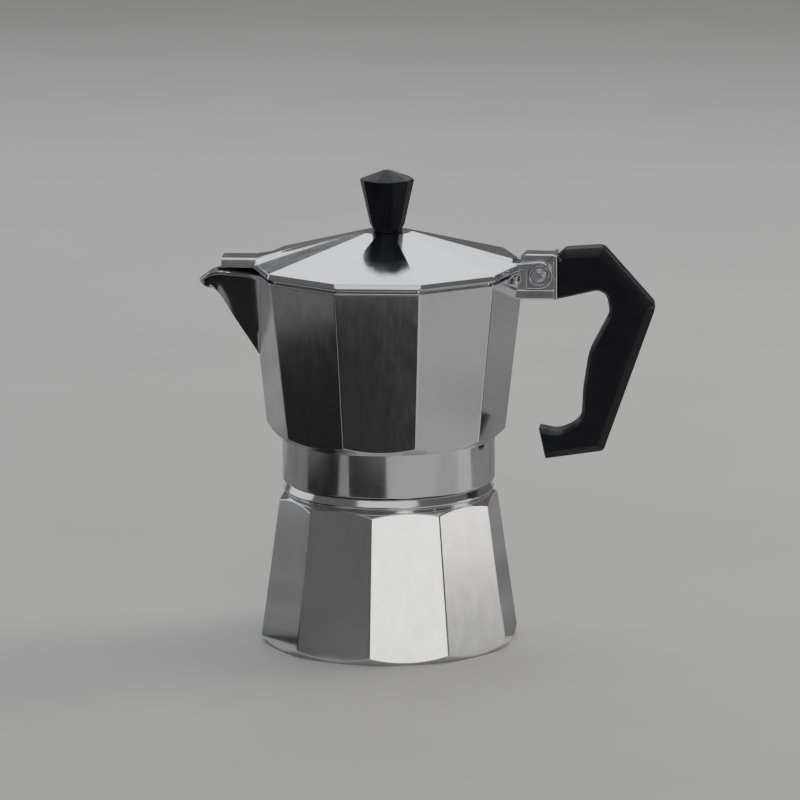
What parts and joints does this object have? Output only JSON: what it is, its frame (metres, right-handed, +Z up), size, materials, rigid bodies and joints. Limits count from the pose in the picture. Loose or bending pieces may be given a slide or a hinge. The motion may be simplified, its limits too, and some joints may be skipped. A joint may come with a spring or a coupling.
{
  "type": "stovetop coffee maker",
  "caption": "Faceted aluminium stovetop coffee maker with a screw-on spouted collector, hinged lid, black angled handle and knob, funnel, gasket and safety valve.",
  "frame": {"origin": "centre of the base's underside, on the body's upright axis", "axes": "+Z up along the body's axis, +X towards the handle, -X towards the spout, +Y to the side"},
  "size_m": [0.15, 0.0926, 0.1575],
  "materials": {
    "cast_aluminium": "polished cast aluminium with faint upright brushing",
    "lid_aluminium": "polished aluminium",
    "sheet_aluminium": "satin spun sheet",
    "black_plastic": "moulded heatproof resin, half gloss",
    "brass": "turned brass",
    "fibre": "pressed fibre",
    "steel": "plated steel",
    "gasket_rubber": "matt pale rubber"
  },
  "bodies": {
    "boiler": {"boiler": "cast_aluminium", "valve_body": "brass", "valve_washer": "fibre", "valve_spring": "steel", "valve_cap": "brass"},
    "valve": {"valve_poppet": "steel"},
    "funnel": {"funnel_basket": "sheet_aluminium", "funnel_stem": "sheet_aluminium", "funnel_plate": "sheet_aluminium"},
    "seal": {"gasket": "gasket_rubber"},
    "filter": {"filter_plate": "sheet_aluminium"},
    "collector": {"collector": "cast_aluminium", "column": "cast_aluminium", "hinge_pin": "steel", "handle": "black_plastic", "handle_screw": "steel"},
    "lid": {"lid": "lid_aluminium", "knob": "black_plastic", "knob_screw": "steel", "knob_washer": "steel"}
  },
  "joints": [
    {"name": "valve_lift", "type": "slide", "parent": "boiler", "child": "valve", "axis": [-0.23, 0.9732, 0], "range_m": [0, 0.0015], "stiffness_N_per_m": 900, "springref_m": -0.0008, "deforming": ["valve_spring"]},
    {"name": "funnel_lift", "type": "slide", "parent": "boiler", "child": "funnel", "axis": [0, 0, 1], "range_m": [0, 0.06]},
    {"name": "collector_lift_off", "type": "slide", "parent": "funnel", "child": "seal", "axis": [0, 0, 1], "range_m": [0, 0.075]},
    {"name": "thread_lift", "type": "slide", "parent": "seal", "child": "filter", "axis": [0, 0, 1], "range_m": [0, 0.008]},
    {"name": "collector_turn", "type": "hinge", "parent": "filter", "child": "collector", "pos_m": [0, 0, 0], "axis": [0, 0, 1], "range_deg": [0, 720]},
    {"name": "lid_hinge", "type": "hinge", "parent": "collector", "child": "lid", "pos_m": [0.0502, 0, 0.1236], "axis": [0, 1, 0], "range_deg": [0, 95]}
  ],
  "couplings": [
    {"joint": "thread_lift", "follows": "collector_turn", "m_per_rad": 0.00063662}
  ]
}
